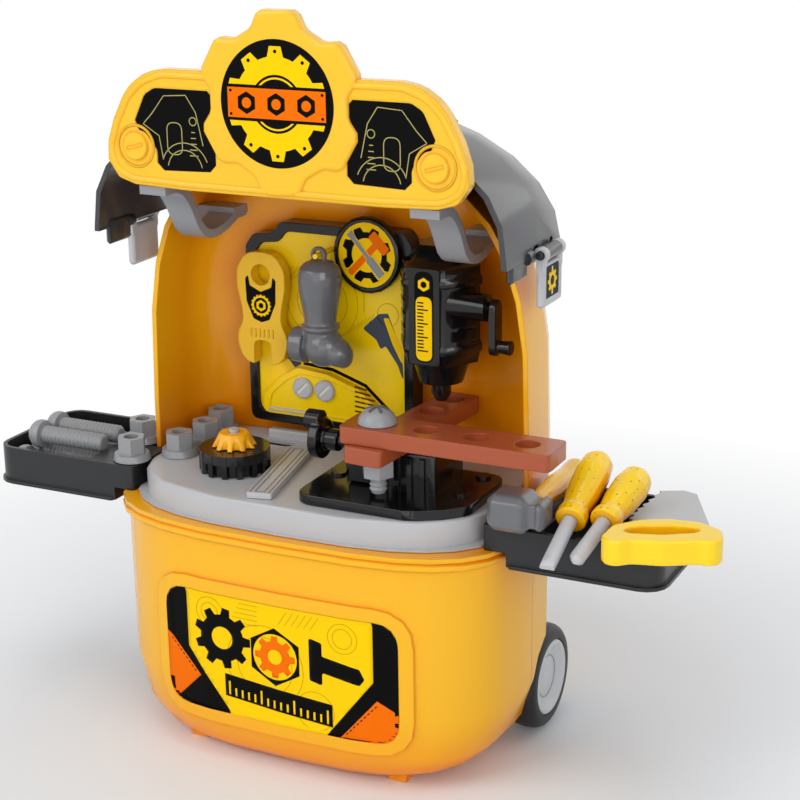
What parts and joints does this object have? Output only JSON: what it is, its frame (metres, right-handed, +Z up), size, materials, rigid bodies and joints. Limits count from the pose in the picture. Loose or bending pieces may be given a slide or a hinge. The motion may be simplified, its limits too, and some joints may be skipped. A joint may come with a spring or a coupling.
{
  "type": "toy tool trolley",
  "caption": "Wheeled toy tool case opened into a workbench, with canopy, sign, side trays, tool board, drill, vise, gears and hand tools.",
  "frame": {"origin": "on the floor below the middle of the bounding box", "axes": "+Z up, +X to the right seen from the front, +Y to the rear"},
  "size_m": [0.4626, 0.1574, 0.4324],
  "materials": {
    "case_yellow": "glossy moulded plastic",
    "cover_black": "glossy moulded plastic",
    "tray_charcoal": "satin moulded plastic",
    "worktop_grey": "satin moulded plastic",
    "tool_yellow": "glossy moulded plastic",
    "tool_grey": "glossy moulded plastic",
    "fastener_grey": "satin moulded plastic",
    "plank_brown": "satin moulded plastic",
    "window_amber": "glossy amber plastic",
    "tyre_black": "matte moulded plastic",
    "tube_steel": "plated steel"
  },
  "bodies": {
    "case": {"front_body_shell": "case_yellow", "rear_body_shell": "case_yellow", "upper_rear_shell": "case_yellow", "carry_handle": "case_yellow", "worktop": "worktop_grey", "board_frame": "cover_black", "board_panel": "tool_yellow", "badge": "cover_black", "drill_body": "cover_black", "vise_base": "cover_black", "sign_board": "case_yellow", "sign_disc": "cover_black", "left_sign_arm": "worktop_grey", "right_sign_arm": "worktop_grey", "wheel_axle": "tube_steel"},
    "left_wheel": {"left_tyre": "tyre_black", "left_wheel_hub": "fastener_grey"},
    "right_wheel": {"right_tyre": "tyre_black", "right_wheel_hub": "fastener_grey"},
    "pull_handle": {"pull_tube": "tube_steel", "pull_grip": "tray_charcoal"},
    "crown": {"crown_gear": "tray_charcoal"},
    "bevel": {"bevel_gear": "case_yellow"},
    "crank": {"drill_crank": "cover_black"},
    "chuck": {"drill_chuck": "cover_black"},
    "hand_wheel": {"vise_screw": "cover_black"},
    "jaw": {"vise_jaw": "cover_black"},
    "canopy": {"cover": "cover_black", "cover_window": "window_amber"},
    "left_latch": {"left_clasp": "worktop_grey"},
    "right_latch": {"right_clasp": "worktop_grey"},
    "left_bin": {"left_tray": "tray_charcoal", "tray_bolt_1": "fastener_grey", "tray_bolt_2": "fastener_grey", "tray_bolt_3": "fastener_grey", "tray_bolt_4": "fastener_grey", "tray_bolt_5": "fastener_grey", "tray_bolt_6": "fastener_grey", "flange_nut_1": "fastener_grey", "flange_nut_2": "fastener_grey"},
    "right_bin": {"right_tray": "tray_charcoal", "mallet_head": "tool_grey", "mallet_handle": "tool_yellow", "flat_driver_handle": "tool_yellow", "flat_driver_shaft": "fastener_grey", "cross_driver_handle": "tool_yellow", "cross_driver_shaft": "fastener_grey", "saw_blade": "fastener_grey", "saw_handle": "tool_yellow"},
    "spanner": {"wrench": "tool_yellow"},
    "hammer": {"claw_hammer": "tool_grey"},
    "planks": {"cross_plank": "plank_brown", "plank_bolt": "fastener_grey", "plank_nut": "fastener_grey"},
    "swing_plank": {"long_plank": "plank_brown"},
    "ruler": {"ruler_bar": "worktop_grey"},
    "nut_3": {"flange_nut_3": "fastener_grey"},
    "nut_4": {"flange_nut_4": "fastener_grey"},
    "nut_5": {"flange_nut_5": "fastener_grey"}
  },
  "joints": [
    {"name": "left_wheel_roll", "type": "hinge", "parent": "case", "child": "left_wheel", "pos_m": [-0.12667, 0.0447, 0.032], "axis": [1, 0, 0], "continuous": true},
    {"name": "right_wheel_roll", "type": "hinge", "parent": "case", "child": "right_wheel", "pos_m": [0.09533, 0.0447, 0.032], "axis": [1, 0, 0], "continuous": true},
    {"name": "pull_handle_slide", "type": "slide", "parent": "case", "child": "pull_handle", "axis": [0, 0, 1], "range_m": [0, 0.15]},
    {"name": "crown_gear_spin", "type": "hinge", "parent": "case", "child": "crown", "pos_m": [-0.06967, -0.0233, 0.17], "axis": [0, 0, 1], "continuous": true},
    {"name": "bevel_gear_spin", "type": "hinge", "parent": "case", "child": "bevel", "pos_m": [-0.06967, -0.0233, 0.18], "axis": [0, 0, 1], "continuous": true},
    {"name": "drill_crank_turn", "type": "hinge", "parent": "case", "child": "crank", "pos_m": [0.07433, 0.0177, 0.2648], "axis": [1, 0, 0], "continuous": true},
    {"name": "chuck_spin", "type": "hinge", "parent": "case", "child": "chuck", "pos_m": [0.03933, 0.0307, 0.209], "axis": [0, 0, 1], "continuous": true},
    {"name": "vise_screw_turn", "type": "hinge", "parent": "case", "child": "hand_wheel", "pos_m": [-0.01567, -0.0128, 0.185], "axis": [1, 0, 0], "range_deg": [0, 1080]},
    {"name": "vise_jaw_slide", "type": "slide", "parent": "case", "child": "jaw", "axis": [-1, 0, 0], "range_m": [0, 0.006]},
    {"name": "cover_lift", "type": "slide", "parent": "case", "child": "canopy", "axis": [0, 0, 1], "range_m": [0, 0.09]},
    {"name": "left_clasp_swing", "type": "hinge", "parent": "canopy", "child": "left_latch", "pos_m": [-0.14617, 0.0067, 0.3035], "axis": [0, 1, 0], "range_deg": [0, 90]},
    {"name": "right_clasp_swing", "type": "hinge", "parent": "canopy", "child": "right_latch", "pos_m": [0.11483, 0.0067, 0.3035], "axis": [0, -1, 0], "range_deg": [0, 90]},
    {"name": "left_tray_lift", "type": "slide", "parent": "case", "child": "left_bin", "axis": [-1, 0, 0], "range_m": [0, 0.08]},
    {"name": "right_tray_lift", "type": "slide", "parent": "case", "child": "right_bin", "axis": [1, 0, 0], "range_m": [0, 0.08]},
    {"name": "wrench_pull", "type": "slide", "parent": "case", "child": "spanner", "axis": [0, -1, 0], "range_m": [0, 0.04]},
    {"name": "hammer_pull", "type": "slide", "parent": "case", "child": "hammer", "axis": [0, -1, 0], "range_m": [0, 0.04]},
    {"name": "planks_slide", "type": "slide", "parent": "case", "child": "planks", "axis": [0, -1, 0], "range_m": [0, 0.04]},
    {"name": "plank_swivel", "type": "hinge", "parent": "planks", "child": "swing_plank", "pos_m": [0.03587, -0.0458, 0.206], "axis": [0, 0, 1], "range_deg": [-45, 20]},
    {"name": "ruler_lift", "type": "slide", "parent": "case", "child": "ruler", "axis": [0, 0, 1], "range_m": [0, 0.02]},
    {"name": "nut_3_lift", "type": "slide", "parent": "case", "child": "nut_3", "axis": [0, 0, 1], "range_m": [0, 0.02]},
    {"name": "nut_4_lift", "type": "slide", "parent": "case", "child": "nut_4", "axis": [0, 0, 1], "range_m": [0, 0.02]},
    {"name": "nut_5_lift", "type": "slide", "parent": "case", "child": "nut_5", "axis": [0, 0, 1], "range_m": [0, 0.02]}
  ],
  "couplings": [
    {"joint": "chuck_spin", "follows": "drill_crank_turn", "ratio": 1},
    {"joint": "vise_jaw_slide", "follows": "vise_screw_turn", "m_per_rad": 0.00031799}
  ]
}
